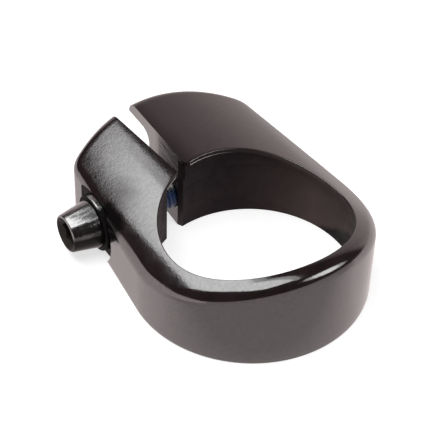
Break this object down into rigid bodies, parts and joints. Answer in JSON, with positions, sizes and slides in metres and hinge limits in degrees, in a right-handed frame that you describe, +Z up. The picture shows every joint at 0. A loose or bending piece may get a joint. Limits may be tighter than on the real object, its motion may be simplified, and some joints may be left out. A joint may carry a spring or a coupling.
{
  "type": "seatpost clamp",
  "caption": "Crowned split collar with a hooded nose that a socket-head bolt draws together to hold a seatpost in a bicycle frame's seat tube.",
  "frame": {"origin": "on the bore axis, at the height of the bolt's axis", "axes": "+Z up the seatpost along the bore, +X towards the nose, +Y towards the bolt's head"},
  "size_m": [0.0551, 0.0445, 0.0176],
  "materials": {
    "collar_paint": "gloss black paint with a fine orange-peel texture, bare metal along the lip's lower edge",
    "bolt_black": "glossy black oxide, with a blue thread-lock patch on the thread",
    "washer_steel": "bright zinc-plated steel"
  },
  "bodies": {
    "collar": {"collar": "collar_paint"},
    "washer": {"bolt_washer": "washer_steel"},
    "bolt": {"clamp_bolt": "bolt_black"}
  },
  "joints": [
    {"name": "bolt_travel", "type": "slide", "parent": "collar", "child": "washer", "axis": [0, 1, 0], "range_m": [0, 0.0096]},
    {"name": "bolt_turn", "type": "hinge", "parent": "washer", "child": "bolt", "pos_m": [0.0208, 0, 0], "axis": [0, 1, 0], "range_deg": [0, 4330]}
  ],
  "couplings": [
    {"joint": "bolt_turn", "follows": "bolt_travel", "rad_per_m": 7854}
  ]
}
